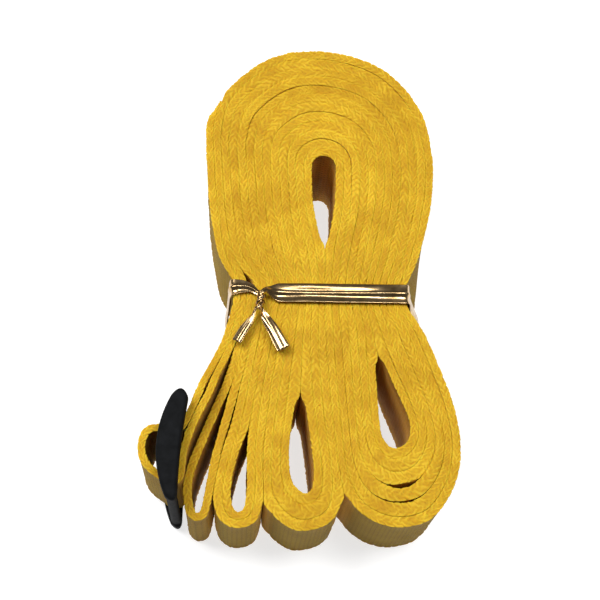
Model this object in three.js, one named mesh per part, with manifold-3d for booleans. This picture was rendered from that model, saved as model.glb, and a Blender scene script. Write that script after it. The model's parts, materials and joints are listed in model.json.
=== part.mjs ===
// A flat webbing strap folded into a hank that stands on its selvedges. A twist tie holds its waist
// and a moulded slide adjuster rides the outermost fold. Millimetres, +Z up. X runs across the hank,
// Y from the lower folds up to the crown, and Z along the webbing's width.
import * as THREE from "three";
import { mergeVertices } from "three/addons/utils/BufferGeometryUtils.js";
import Module from "manifold-3d";

const wasm = await Module();
wasm.setup();
const { Manifold, Mesh: ManifoldMesh } = wasm;

// Webbing
const WEB_WIDTH = 25.4;
const WEB_THICK = 1.1;
const WAIST_HALF = 2.6; // half the height of the straight run inside the tie
const PITCH_LEFT = 1.35; // from one leg to the next at the waist
const PITCH_RIGHT = 1.467;
const LEGS_LEFT = 14;
const LEGS_RIGHT = 12;
const TURN_LIMIT = THREE.MathUtils.degToRad(6); // a span that turns more than this gets a middle facet
const PINCH_LOW = 1.4; // the tie presses the selvedges in by this much under the hank
const PINCH_HIGH = 0.5; // and by this much on top of it

// Slide adjuster
const SLIDE_WIDTH = 33.5;
const RAIL_THICK = 3.55;
const RAIL_BEVEL = 0.3;
const BAR = { x: -30.3, y: -32.5 }; // the middle bar, which the webbing goes round
const WEB_LIFT = (SLIDE_WIDTH - WEB_WIDTH) / 2; // the looped webbing stands this high, in the slide's middle

// Twist tie
const TIE_WIDTH = 3.9;
const FILM_THICK = 0.15;
const FILM_OFFSET = 0.17; // from the tie's middle to each film's middle, along its edges
const FILM_RISE = 0.22; // extra offset where a film passes over the wire
const WIRE_RADIUS = 0.13;
const KNOT_RADIUS = 0.7;
const KNOT_TURNS = 1.25;
const KNOT_WIDTH = 0.75; // the strip is crumpled to this width in the knot
const TIE_REACH = FILM_OFFSET + FILM_RISE + FILM_THICK / 2 + 0.3; // from the webbing to the tie's middle

const smooth = (a, b, t) => THREE.MathUtils.smoothstep(t, a, b);
const vec2 = (list) => list.map(([x, y]) => new THREE.Vector2(x, y));

// ---------------------------------------------------------------- the fold
// Legs are numbered from the left at the waist. Each bundle of nested folds has the middle line of its
// innermost and of its outermost layer, station by station from the left leg to the right one.
const CROWN = {
  inner: vec2([
    [-0.9, 8.0], [-2.8, 17.0], [-3.3, 24.8], [-3.25, 27.6], [-2.4, 29.3], [-0.9, 30.1],
    [0.5, 30.1], [1.95, 29.4], [2.9, 28.0], [3.1, 25.5], [2.7, 18.0], [1.2, 9.5],
  ]),
  outer: vec2([
    [-18.95, 8.0], [-20.5, 17.0], [-21.35, 26.5], [-21.65, 35.2], [-19.2, 43.0], [-10.2, 50.5],
    [0.5, 51.9], [11.5, 48.3], [18.8, 39.9], [21.15, 30.0], [20.75, 20.0], [18.4, 9.3],
  ]),
};
const FREE_END = vec2([[-23.1, 36.0], [-22.85, 26.5], [-21.95, 17.0], [-20.35, 8.0]]);

const LOBES = [
  {
    legs: [3, 4],
    inner: vec2([
      [-16.4, -9.0], [-18.5, -17.0], [-21.0, -23.3], [-23.3, -29.0], [-25.1, -33.8],
      [-26.1, -38.0], [-25.9, -41.6], [-25.3, -43.5], [-24.3, -44.1], [-23.1, -43.5],
      [-22.5, -41.6], [-21.7, -36.8], [-20.5, -30.9], [-19.0, -25.3], [-17.0, -17.5], [-15.0, -9.0],
    ]),
  },
  {
    legs: [5, 8],
    inner: vec2([
      [-12.3, -9.0], [-13.9, -18.0], [-15.3, -25.5], [-17.6, -32.5], [-18.8, -38.8], [-18.2, -42.6],
      [-16.6, -43.9], [-14.8, -42.7], [-14.2, -38.5], [-14.2, -31.0], [-13.5, -24.5],
      [-12.4, -16.5], [-11.0, -9.0],
    ]),
    outer: vec2([
      [-13.6, -9.0], [-15.4, -18.0], [-17.0, -25.5], [-19.2, -33.0], [-20.4, -40.2], [-19.3, -44.2],
      [-16.5, -45.4], [-13.5, -43.9], [-12.6, -38.8], [-12.7, -31.0], [-12.1, -24.5],
      [-11.0, -16.5], [-9.6, -9.0],
    ]),
  },
  {
    legs: [9, 14],
    inner: vec2([
      [-5.2, -9.0], [-6.1, -17.5], [-7.2, -25.5], [-7.8, -32.5], [-7.0, -37.8], [-4.3, -40.3],
      [-2.0, -38.8], [-1.6, -34.5], [-2.4, -27.5], [-3.3, -20.0], [-3.6, -10.5],
    ]),
    outer: vec2([
      [-8.2, -9.0], [-9.5, -17.5], [-10.6, -26.0], [-11.3, -35.0], [-10.4, -41.6], [-5.6, -45.7],
      [0.4, -44.2], [2.1, -38.8], [1.0, -28.5], [0.0, -18.5], [-0.6, -9.0],
    ]),
  },
  {
    legs: [15, 26],
    inner: vec2([
      [8.7, -9.0], [9.0, -17.0], [9.4, -24.0], [9.9, -28.0], [11.0, -30.3], [12.8, -31.5],
      [15.2, -30.8], [16.7, -28.8], [16.9, -25.6], [15.2, -20.8], [12.8, -15.2], [10.6, -9.0],
    ]),
    outer: vec2([
      [0.85, -9.0], [1.5, -18.0], [2.4, -28.0], [3.7, -36.8], [6.8, -42.4], [12.7, -45.0],
      [19.2, -43.6], [23.6, -37.6], [25.0, -30.5], [23.9, -22.5], [21.6, -15.6], [19.2, -9.0],
    ]),
    slack: [0, 0.185, 0.37, 0.6, 0.82, 1], // the layers sag apart unevenly at the bottom
    slackAt: [0, 0, 0, 0.4, 1, 1, 1, 0.6, 0.2, 0, 0, 0],
  },
];

// Legs 1 and 2 are one loose turn through the slide: over its middle bar and back.
const SLIDE_TURN = vec2([
  [-19.2, -9.0], [-21.4, -14.4], [-23.4, -18.7], [-24.5, -21.6], [-25.8, -25.0], [-27.4, -27.8],
  [-29.4, -28.8], [-31.6, -28.0], [-33.6, -28.5], [-34.6, -30.3], [-34.7, -32.6], [-33.8, -34.8],
  [-31.8, -36.7], [-29.8, -37.9], [-28.2, -38.0], [-27.4, -36.9], [-27.2, -35.0], [-26.9, -32.4],
  [-25.7, -28.4],
  [-24.2, -25.0], [-22.4, -21.1], [-20.9, -17.0], [-19.4, -13.4], [-17.9, -9.0],
]);

const legX = (k) => (k - LEGS_LEFT - 0.5) * (k > LEGS_LEFT ? PITCH_RIGHT : PITCH_LEFT);
const waistPoint = (k, side) => new THREE.Vector2(legX(k), side * WAIST_HALF);

const above = new Map(); // leg -> the stations over the crown to its partner
const below = new Map(); // leg -> the stations round a lower fold to its partner
const join = (map, left, right, stations) => {
  map.set(left, { to: right, stations });
  map.set(right, { to: left, stations: [...stations].reverse() });
};

// Leg 3 ends under the tie, so the crown's left side takes legs 2 and 4 to 14.
const crownLegs = [2];
for (let k = 4; k <= LEGS_LEFT; k += 1) crownLegs.push(k);
crownLegs.forEach((k, i) => {
  const share = (LEGS_RIGHT - 1 - i) / (LEGS_RIGHT - 1);
  const stations = CROWN.inner.map((p, s) => p.clone().lerp(CROWN.outer[s], share));
  join(above, k, LEGS_LEFT + LEGS_RIGHT - i, stations);
});

join(below, 1, 2, SLIDE_TURN);
for (const { legs: [first, last], inner, outer = inner, slack, slackAt } of LOBES) {
  const layers = (last - first + 1) / 2;
  for (let i = 0; i < layers; i += 1) {
    const even = layers > 1 ? i / (layers - 1) : 0;
    const shareAt = (s) => (slack ? THREE.MathUtils.lerp(even, slack[i], slackAt[s]) : even);
    const stations = inner.map((p, s) => p.clone().lerp(outer[s], shareAt(s)));
    join(below, first + layers - 1 - i, first + layers + i, stations);
  }
}

// Follow the strap from its free end, down leg 1, until a leg has no partner.
const route = [...FREE_END];
const lifted = FREE_END.map(() => false);
const add = (points, lift = false) => {
  for (const p of points) {
    route.push(p);
    lifted.push(lift);
  }
};
for (let leg = 1; ; ) {
  add([waistPoint(leg, 1), waistPoint(leg, 0), waistPoint(leg, -1)]);
  const down = below.get(leg);
  add(down.stations, leg < 3);
  leg = down.to;
  add([waistPoint(leg, -1), waistPoint(leg, 0)]);
  if (!above.has(leg)) {
    add([new THREE.Vector2(legX(leg), 1.6)]);
    break;
  }
  add([waistPoint(leg, 1), ...above.get(leg).stations]);
  leg = above.get(leg).to;
}

// Where along the route the facets start, counted in stations.
function facetStarts() {
  const spans = route.length - 1;
  const heading = (i) => route[i + 1].clone().sub(route[i]).angle();
  const turn = (i) => {
    if (i < 1 || i >= spans) return 0;
    const change = Math.abs(heading(i) - heading(i - 1));
    return Math.min(change, 2 * Math.PI - change);
  };
  const starts = [];
  for (let i = 0; i < spans; i += 1) {
    starts.push(i);
    if (Math.max(turn(i), turn(i + 1)) > TURN_LIMIT) starts.push(i + 0.5);
  }
  return [...starts, spans];
}

// Bend a straight bar along the route. The bar's length runs along Z, its thickness along X and its
// width along Y.
function strapGeometry() {
  const curve = new THREE.SplineCurve(route);
  const spans = route.length - 1;
  const starts = facetStarts();
  const steps = starts.length - 1;
  const geometry = new THREE.BoxGeometry(WEB_THICK, WEB_WIDTH, steps, 1, 1, steps);
  geometry.translate(0, WEB_WIDTH / 2, steps / 2);
  const position = geometry.getAttribute("position");
  for (let i = 0; i < position.count; i += 1) {
    const along = starts[Math.round(position.getZ(i))];
    const middle = curve.getPoint(along / spans);
    const ahead = curve.getPoint(Math.min(1, (along + 0.01) / spans));
    const behind = curve.getPoint(Math.max(0, (along - 0.01) / spans));
    const way = ahead.sub(behind).normalize();
    const across = position.getX(i);
    const lift = lifted[Math.round(along)] ? WEB_LIFT * smooth(8, 24, -middle.y) : 0;
    const pinch = 1 - smooth(WAIST_HALF + 0.2, 8, Math.abs(middle.y));
    const height = position.getY(i);
    const pressed = height > WEB_WIDTH / 2 ? -PINCH_HIGH * pinch : PINCH_LOW * pinch;
    position.setXYZ(i, middle.x - way.y * across, middle.y + way.x * across, height + lift + pressed);
  }
  return geometry;
}

// ------------------------------------------------------------- booleans
function toSolid(geometry) {
  const bare = new THREE.BufferGeometry();
  const source = geometry.index ? geometry.toNonIndexed() : geometry;
  bare.setAttribute("position", source.getAttribute("position"));
  const merged = mergeVertices(bare, 1e-3);
  const mesh = new ManifoldMesh({
    numProp: 3,
    vertProperties: new Float32Array(merged.getAttribute("position").array),
    triVerts: new Uint32Array(merged.index.array),
  });
  mesh.merge();
  return new Manifold(mesh);
}

function toGeometry(solid) {
  const { vertProperties, triVerts } = solid.getMesh();
  const geometry = new THREE.BufferGeometry();
  geometry.setAttribute("position", new THREE.BufferAttribute(vertProperties, 3));
  geometry.setIndex(new THREE.BufferAttribute(triVerts, 1));
  return geometry;
}

// ------------------------------------------------------- slide adjuster
// Part of a circle, its angles counted from its leftmost point, anticlockwise when seen from above.
function arcPoints(x, y, radius, from, to, spans) {
  const curve = new THREE.EllipseCurve(x, y, radius, radius, Math.PI + from, Math.PI + to, to < from);
  return curve.getPoints(spans);
}

// A side rail is a crescent: two arcs, joined by rounded ends.
function railShape() {
  const outer = arcPoints(-10.4, -32.9, 21.5, -0.5, 0.417, 16);
  const inner = arcPoints(89.4, -42.9, 117.2, -0.0145, -0.171, 8);
  const rounded = (from, corner, to) =>
    new THREE.QuadraticBezierCurve(from, new THREE.Vector2(...corner), to).getPoints(4).slice(1, -1);
  return new THREE.Shape([
    ...outer,
    ...rounded(outer.at(-1), [-28.2, -43.6], inner[0]),
    ...inner,
    ...rounded(inner.at(-1), [-27.26, -19.85], outer[0]),
  ]);
}

function crossbar(x, y, rx, ry, tilt) {
  const shape = new THREE.Shape();
  shape.absellipse(x, y, rx, ry, 0, 2 * Math.PI, false, tilt);
  const geometry = new THREE.ExtrudeGeometry(shape, {
    depth: SLIDE_WIDTH - RAIL_THICK,
    bevelEnabled: false,
    curveSegments: 16,
  });
  return toSolid(geometry.translate(0, 0, RAIL_THICK / 2));
}

function slideGeometry() {
  const rail = (z) => {
    const geometry = new THREE.ExtrudeGeometry(railShape(), {
      depth: RAIL_THICK - 2 * RAIL_BEVEL,
      bevelSize: RAIL_BEVEL,
      bevelThickness: RAIL_BEVEL,
      bevelOffset: -RAIL_BEVEL,
      bevelSegments: 2,
    });
    return toSolid(geometry.translate(0, 0, z + RAIL_BEVEL));
  };
  const bars = [
    crossbar(-28.1, -22.9, 1.2, 1.0, 0.3),
    crossbar(BAR.x, BAR.y, 1.25, 1.55, 0),
    crossbar(-28.9, -41.1, 1.1, 0.9, -0.3),
  ];
  return toGeometry([rail(0), rail(SLIDE_WIDTH - RAIL_THICK), ...bars].reduce((a, b) => a.add(b)));
}

// ------------------------------------------------------------ twist tie
// One strip: a tail, through the knot, round the waist, through the knot again, the other tail. Each
// mark is a point of its middle line, the way its outer face looks there, and its width.
function tieMarks() {
  const marks = [];
  const mark = (x, y, z, nx, ny, nz, width) =>
    marks.push({ p: new THREE.Vector3(x, y, z), n: new THREE.Vector3(nx, ny, nz).normalize(), width });
  const knotTop = new THREE.Vector3(-13.1, -0.4, 26.6);
  const knotLow = new THREE.Vector3(-13.4, -3.9, 26.9);
  const helix = (start, side, backwards) => {
    const steps = 16;
    for (let i = 0; i <= steps; i += 1) {
      const t = (backwards ? steps - i : i) / steps;
      const turn = start + KNOT_TURNS * 2 * Math.PI * t;
      const out = new THREE.Vector3(Math.cos(turn), 0, Math.sin(turn));
      const at = knotTop.clone().lerp(knotLow, t).addScaledVector(out, KNOT_RADIUS);
      mark(at.x, at.y, at.z, side * out.x, 0, side * out.z, KNOT_WIDTH);
    }
  };
  const front = WEB_WIDTH - PINCH_HIGH + TIE_REACH;
  const back = PINCH_LOW - TIE_REACH;
  const left = legX(1) - WEB_THICK / 2 - TIE_REACH;
  const right = legX(LEGS_LEFT + LEGS_RIGHT) + WEB_THICK / 2 + TIE_REACH;
  const bend = 1; // radius of the tie's four corners
  const cut = bend * (1 - Math.SQRT1_2);

  mark(-17.1, -10.0, 27.3, -0.2, 0, 1, 1.9);
  mark(-15.9, -7.9, 27.2, -0.3, 0, 1, 1.6);
  mark(-15.1, -6.5, 27.0, -0.6, 0, 0.8, 1.3);
  mark(-14.5, -5.1, 26.9, -0.9, 0, 0.4, 0.9);
  helix(Math.PI / 2, 1, true);
  mark(-12.3, 0.15, front + 1.35, 0, 0, 1, 0.9);
  mark(-11.3, 0.1, front + 0.75, 0.3, 0, 1, 2);
  mark(-9.6, 0, front + 0.1, 0, 0, 1, TIE_WIDTH);
  for (let i = 1; i <= 5; i += 1) {
    mark(THREE.MathUtils.lerp(-9.6, right - bend, i / 5), 0, front, 0, 0, 1, TIE_WIDTH);
  }
  mark(right - cut, 0, front - cut, 1, 0, 1, TIE_WIDTH);
  for (let i = 0; i <= 3; i += 1) {
    mark(right, 0, THREE.MathUtils.lerp(front - bend, back + bend, i / 3), 1, 0, 0, TIE_WIDTH);
  }
  mark(right - cut, 0, back + cut, 1, 0, -1, TIE_WIDTH);
  for (let i = 0; i <= 5; i += 1) {
    mark(THREE.MathUtils.lerp(right - bend, left + bend, i / 5), 0, back, 0, 0, -1, TIE_WIDTH);
  }
  mark(left + cut, 0, back + cut, -1, 0, -1, TIE_WIDTH);
  for (let i = 0; i <= 3; i += 1) {
    const z = THREE.MathUtils.lerp(back + bend, front - bend, i / 3);
    mark(left, 0.3 * i, z, -1, 0, 0, TIE_WIDTH - 0.15 * i);
  }
  mark(left + cut, 1, front - cut, -1, 0, 1, 3.3);
  mark(left + bend, 1.1, front, 0, 0, 1, 3.1);
  mark(left + 2.4, 1.2, front, 0, 0, 1, 2.7);
  mark(-15.4, 0.9, front, 0, 0, 1, 1.9);
  mark(-14.2, 0.1, front - 0.03, 0, 0, 1, 1.1);
  helix(1.5 * Math.PI, -1, false);
  mark(-12.5, -4.5, 26.9, -0.9, 0, 0.4, 0.8);
  mark(-12.2, -5.1, 26.95, -0.6, 0, 0.8, 1);
  mark(-11.7, -5.9, 27.0, -0.1, 0, 1, 1.4);
  mark(-10.4, -7.9, 27.3, 0.1, 0, 1, 2.1);
  mark(-8.2, -11.4, 27.5, 0, 0, 1, 2.7);
  return marks;
}

// Bend a straight bar, its length along Z from 0 to 1, along the marks. X is across, Y outwards.
function bendAlongTie(geometry, offsetAt) {
  const marks = tieMarks();
  const path = new THREE.CatmullRomCurve3(marks.map((m) => m.p), false, "centripetal");
  const last = marks.length - 1;
  const position = geometry.getAttribute("position");
  for (let i = 0; i < position.count; i += 1) {
    const along = THREE.MathUtils.clamp(position.getZ(i), 0, 1);
    const index = Math.min(last - 1, Math.floor(along * last));
    const part = along * last - index;
    const width = THREE.MathUtils.lerp(marks[index].width, marks[index + 1].width, part);
    const way = path.getTangent(along);
    const out = marks[index].n.clone().lerp(marks[index + 1].n, part);
    out.addScaledVector(way, -out.dot(way)).normalize();
    const across = new THREE.Vector3().crossVectors(out, way);
    const { x, y } = offsetAt(position.getX(i), position.getY(i), width);
    const at = path.getPoint(along).addScaledVector(across, x).addScaledVector(out, y);
    position.setXYZ(i, at.x, at.y, at.z);
  }
  return geometry;
}

const TIE_STEPS = tieMarks().length - 1;

function filmGeometry(side) {
  const bar = new THREE.BoxGeometry(1, FILM_THICK, 1, 4, 1, TIE_STEPS).translate(0, 0, 0.5);
  return bendAlongTie(bar, (x, y, width) => {
    const across = x * width;
    const rise = FILM_RISE * Math.max(0, 1 - Math.abs(across) / 0.6);
    return { x: across, y: y + side * (FILM_OFFSET + rise) };
  });
}

function wireGeometry() {
  const bar = new THREE.CylinderGeometry(WIRE_RADIUS, WIRE_RADIUS, 1, 6, TIE_STEPS);
  bar.rotateX(Math.PI / 2).translate(0, 0, 0.5);
  return bendAlongTie(bar, (x, y) => ({ x, y }));
}

// ------------------------------------------------------------- assembly
function finish(color, roughness, metalness) {
  return new THREE.MeshStandardMaterial({ color, roughness, metalness });
}

function piece(name, geometry, material) {
  const mesh = new THREE.Mesh(geometry, material);
  mesh.name = name;
  return mesh;
}

const hank = new THREE.Group();
hank.name = "strap_hank";
hank.add(
  piece("webbing_strap", strapGeometry(), finish(0xe8b82e, 0.85, 0)),
  piece("slide_adjuster", slideGeometry(), finish(0x17181a, 0.55, 0)),
  piece("tie_outer_film", filmGeometry(1), finish(0xb08a3c, 0.25, 1)),
  piece("tie_inner_film", filmGeometry(-1), finish(0xb08a3c, 0.3, 1)),
  piece("tie_wire", wireGeometry(), finish(0x8d8f92, 0.35, 1)),
);

// Stand the hank on the ground with its box centred on the origin.
const box = new THREE.Box3().setFromObject(hank, true);
const middle = box.getCenter(new THREE.Vector3());
hank.position.set(-middle.x, -middle.y, -box.min.z);
hank.updateMatrixWorld(true);

export default hank;
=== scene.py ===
"""The looks of the webbing strap hank: strap, slide adjuster and twist tie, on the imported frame's bodies."""

import json
import math
from types import SimpleNamespace

import bpy
import numpy as np
from mathutils import Matrix, Vector, kdtree


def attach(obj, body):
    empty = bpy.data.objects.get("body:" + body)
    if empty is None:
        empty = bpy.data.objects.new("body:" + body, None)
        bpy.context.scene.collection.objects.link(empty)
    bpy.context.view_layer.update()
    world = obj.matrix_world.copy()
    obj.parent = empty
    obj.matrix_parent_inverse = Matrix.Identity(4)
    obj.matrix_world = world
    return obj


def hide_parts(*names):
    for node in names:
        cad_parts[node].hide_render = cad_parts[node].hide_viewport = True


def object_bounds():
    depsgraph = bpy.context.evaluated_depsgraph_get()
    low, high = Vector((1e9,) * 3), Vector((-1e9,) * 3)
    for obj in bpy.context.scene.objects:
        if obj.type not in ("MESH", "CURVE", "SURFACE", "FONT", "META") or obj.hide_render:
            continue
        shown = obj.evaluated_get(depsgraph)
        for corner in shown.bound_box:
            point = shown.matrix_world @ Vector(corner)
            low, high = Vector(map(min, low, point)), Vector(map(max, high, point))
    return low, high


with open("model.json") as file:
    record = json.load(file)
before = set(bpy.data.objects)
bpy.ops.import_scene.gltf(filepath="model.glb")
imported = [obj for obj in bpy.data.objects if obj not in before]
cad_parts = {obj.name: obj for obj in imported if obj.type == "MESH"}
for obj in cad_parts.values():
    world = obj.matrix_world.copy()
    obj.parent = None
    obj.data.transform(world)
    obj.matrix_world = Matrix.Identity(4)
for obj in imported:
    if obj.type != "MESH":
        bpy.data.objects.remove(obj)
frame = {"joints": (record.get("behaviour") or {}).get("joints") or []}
cad_low, cad_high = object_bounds()
MM = 0.001

# The route's own frame has the slide's middle bar here; the row frame has it on the slide's hinge.
BAR = np.array([-30.3, -32.5])
hinge = frame["joints"][0]["pos_m"]
SHIFT = np.array([hinge[0] / MM - BAR[0], hinge[1] / MM - BAR[1], 0.0])


def row(points):
    """Points of the route's frame, in millimetres, in the row frame in metres."""
    return (np.asarray(points, float) + SHIFT) * MM


# ------------------------------------------------------------------ camera
AIM = [-4.94, -1.42, 25.4]  # on the plane of the upper selvedges
AZIMUTH, ELEVATION, ROLL = (math.radians(a) for a in (-7.57, 72.09, 7.90))
DISTANCE = 298.3
FOCAL = 2.54  # focal length over image width
SENSOR = 36.0


def add_camera():
    """Puts the camera at the photograph's angle and leans it by ROLL."""
    level = math.cos(ELEVATION)
    toward = np.array([math.sin(AZIMUTH) * level, -math.cos(AZIMUTH) * level, math.sin(ELEVATION)])
    level_right = np.cross(-toward, [0.0, 0.0, 1.0])
    level_right /= np.linalg.norm(level_right)
    level_up = np.cross(level_right, -toward)
    right = math.cos(ROLL) * level_right + math.sin(ROLL) * level_up
    up = -math.sin(ROLL) * level_right + math.cos(ROLL) * level_up
    data = bpy.data.cameras.new("camera")
    data.sensor_width = SENSOR
    data.lens = FOCAL * SENSOR
    data.clip_start, data.clip_end = 0.01, 10.0
    camera = bpy.data.objects.new("camera", data)
    camera.location = Vector(row(AIM) + toward * DISTANCE * MM)
    camera.rotation_mode = "QUATERNION"
    camera.rotation_quaternion = Matrix(np.stack([right, up, toward], 1).tolist()).to_quaternion()
    bpy.context.scene.collection.objects.link(camera)
    bpy.context.scene.camera = camera


add_camera()

# ------------------------------------------------------- the strap's route
SLIDE_WIDTH = 33.5
WEB_WIDTH = 25.4
WEB_LIFT = (SLIDE_WIDTH - WEB_WIDTH) / 2  # the turn through the slide stands this high, in the slide's middle
LIFT_FROM, LIFT_TO = 8, 24  # below the waist, the lift comes on between these
WAIST_HALF = 2.6  # half the height of the straight run under the tie
PITCH_LEFT, PITCH_RIGHT = 1.35, 1.467  # from one leg to the next at the waist
LEGS_LEFT, LEGS_RIGHT = 14, 12
INNER_END = 1.6  # the last leg ends this far above the waist's middle

# Half of the most that the web may be thick.
HALF_FREE = 0.74  # where nothing is close
HALF_TIED = 0.66  # under the tie, before the tie presses the layers together
HALF_CROWN = 1.2
HALF_SLIDE = 0.66
HALF_LOBE_1, HALF_LOBE_2, HALF_LOBE_3, HALF_LOBE_4 = 0.78, 0.86, 1.5, 1.32

CROWN_INNER = [
    (-0.9, 8), (-2.8, 17), (-3.3, 24.8), (-3.25, 27.6), (-2.4, 29.3), (-0.9, 30.1),
    (0.5, 30.1), (1.95, 29.4), (2.9, 28), (3.1, 25.5), (2.7, 18), (1.2, 9.5),
]
CROWN_OUTER = [
    (-18.95, 8), (-20.5, 17), (-21.35, 26.5), (-21.65, 35.2), (-19.2, 43), (-10.2, 50.5),
    (0.5, 51.9), (11.5, 48.3), (18.8, 39.9), (21.15, 30), (20.75, 20), (18.4, 9.3),
]
FREE_END = [(-23.1, 36), (-22.85, 26.5), (-21.95, 17), (-20.35, 8)]
TAPER_END = [(-21.05, 41.5), (-22.2, 38.8)]  # the free end's thinned tip, past the CAD's square end
TAPER = 6.5  # the thinning's length
TIP_SHARE = 0.25  # how much of the thickness is left on the outer side, at the tip
LOBE_1 = [
    (-16.4, -9), (-18.5, -17), (-21, -23.3), (-23.3, -29), (-25.1, -33.8), (-26.1, -38),
    (-25.9, -41.6), (-25.3, -43.5), (-24.3, -44.1), (-23.1, -43.5), (-22.5, -41.6),
    (-21.7, -36.8), (-20.5, -30.9), (-19, -25.3), (-17, -17.5), (-15, -9),
]
LOBE_2_INNER = [
    (-12.3, -9), (-13.9, -18), (-15.3, -25.5), (-17.6, -32.5), (-18.8, -38.8), (-18.2, -42.6),
    (-16.6, -43.9), (-14.8, -42.7), (-14.2, -38.5), (-14.2, -31), (-13.5, -24.5),
    (-12.4, -16.5), (-11, -9),
]
LOBE_2_OUTER = [
    (-13.6, -9), (-15.4, -18), (-17, -25.5), (-19.2, -33), (-20.4, -40.2), (-19.3, -44.2),
    (-16.5, -45.4), (-13.5, -43.9), (-12.6, -38.8), (-12.7, -31), (-12.1, -24.5),
    (-11, -16.5), (-9.6, -9),
]
LOBE_3_INNER = [
    (-5.2, -9), (-6.1, -17.5), (-7.2, -25.5), (-7.8, -32.5), (-7, -37.8), (-4.3, -40.3),
    (-2, -38.8), (-1.6, -34.5), (-2.4, -27.5), (-3.3, -20), (-3.6, -10.5),
]
LOBE_3_OUTER = [
    (-8.2, -9), (-9.5, -17.5), (-10.6, -26), (-11.3, -35), (-10.4, -41.6), (-5.6, -45.7),
    (0.4, -44.2), (2.1, -38.8), (1, -28.5), (0, -18.5), (-0.6, -9),
]
LOBE_4_INNER = [
    (8.7, -9), (9, -17), (9.4, -24), (9.9, -28), (11, -30.3), (12.8, -31.5),
    (15.2, -30.8), (16.7, -28.8), (16.9, -25.6), (15.2, -20.8), (12.8, -15.2), (10.6, -9),
]
LOBE_4_OUTER = [
    (0.85, -9), (1.5, -18), (2.4, -28), (3.7, -36.8), (6.8, -42.4), (12.7, -45),
    (19.2, -43.6), (23.6, -37.6), (25, -30.5), (23.9, -22.5), (21.6, -15.6), (19.2, -9),
]
SLIDE_TURN = [
    (-19.2, -9), (-21.4, -14.4), (-23.4, -18.7), (-24.5, -21.6), (-25.8, -25), (-27.4, -27.8),
    (-29.4, -28.8), (-31.6, -28), (-33.6, -28.5), (-34.6, -30.3), (-34.7, -32.6), (-33.8, -34.8),
    (-31.8, -36.7), (-29.8, -37.9), (-28.2, -38), (-27.4, -36.9), (-27.2, -35), (-26.9, -32.4),
    (-25.7, -28.4), (-24.2, -25), (-22.4, -21.1), (-20.9, -17), (-19.4, -13.4), (-17.9, -9),
]
SLACK = np.array([0, 0.185, 0.37, 0.6, 0.82, 1])  # lobe 4's layers sag apart unevenly
SLACK_AT = np.array([0, 0, 0, 0.4, 1, 1, 1, 0.6, 0.2, 0, 0, 0])  # and do so at its bottom
# Each lobe's first and last leg, inner and outer fold, slack, and the most that half the web may be thick.
LOBES = [
    (3, 4, LOBE_1, LOBE_1, None, HALF_LOBE_1),
    (5, 8, LOBE_2_INNER, LOBE_2_OUTER, None, HALF_LOBE_2),
    (9, 14, LOBE_3_INNER, LOBE_3_OUTER, None, HALF_LOBE_3),
    (15, 26, LOBE_4_INNER, LOBE_4_OUTER, SLACK, HALF_LOBE_4),
]


def smooth(a, b, t):
    """0 up to a, 1 from b, and a smooth step between them."""
    t = np.clip((t - a) / (b - a), 0, 1)
    return t * t * (3 - 2 * t)


def leg_x(k):
    """Where leg k crosses the waist. Legs are numbered from the left."""
    return (k - LEGS_LEFT - 0.5) * (PITCH_RIGHT if k > LEGS_LEFT else PITCH_LEFT)


def join(table, a, b, stations):
    """Notes that legs a and b are joined by these stations, in either direction."""
    stations = np.asarray(stations, float)
    table[a], table[b] = (b, stations), (a, stations[::-1])


def folds_above():
    """The stations over the crown, by leg. Leg 3 ends under the tie, so the left legs are 2 and 4 to 14."""
    above = {}
    inner, outer = np.array(CROWN_INNER, float), np.array(CROWN_OUTER, float)
    for i, k in enumerate([2] + list(range(4, LEGS_LEFT + 1))):
        share = (LEGS_RIGHT - 1 - i) / (LEGS_RIGHT - 1)
        join(above, k, LEGS_LEFT + LEGS_RIGHT - i, inner + (outer - inner) * share)
    return above


def folds_below():
    """The stations round the slide and the lobes, by leg, and the most that half the web may be thick."""
    below, most = {}, {1: HALF_SLIDE, 2: HALF_SLIDE}
    join(below, 1, 2, SLIDE_TURN)
    for first, last, inner, outer, slack, half in LOBES:
        most.update({k: half for k in range(first, last + 1)})
        inner, outer = np.array(inner, float), np.array(outer, float)
        layers = (last - first + 1) // 2
        for i in range(layers):
            even = i / (layers - 1) if layers > 1 else 0.0
            share = np.full(len(inner), even)
            if slack is not None:
                share = even + (slack[i] - even) * SLACK_AT
            stations = inner + (outer - inner) * share[:, None]
            join(below, first + layers - 1 - i, first + layers + i, stations)
    return below, most


def strap_route():
    """The strap's stations from its free end to its inner one. Each has its place, whether it's on the lifted
    turn, its layer's number, and the most that half the web may be thick there."""
    above = folds_above()
    below, most = folds_below()
    stations = [(p, 0.0, 0, HALF_FREE) for p in TAPER_END + FREE_END]

    def add(points, number, lifted=0.0, half=HALF_TIED):
        stations.extend((tuple(p), lifted, number, half) for p in points)

    leg, number = 1, 0
    while True:
        x = leg_x(leg)
        add([(x, WAIST_HALF), (x, 0), (x, -WAIST_HALF)], number)
        to, fold = below[leg]
        add(fold, number, float(leg < 3), most[leg])
        leg, number = to, number + 1
        x = leg_x(leg)
        add([(x, -WAIST_HALF), (x, 0)], number)
        if leg not in above:
            add([(x, INNER_END)], number)
            break
        to, fold = above[leg]
        add([(x, WAIST_HALF)], number)
        add(fold, number, 0.0, HALF_CROWN)
        leg, number = to, number + 1
    route, lifted, numbers, halves = zip(*stations)
    return np.array(route), np.array(lifted), np.array(numbers, float), np.array(halves)


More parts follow.
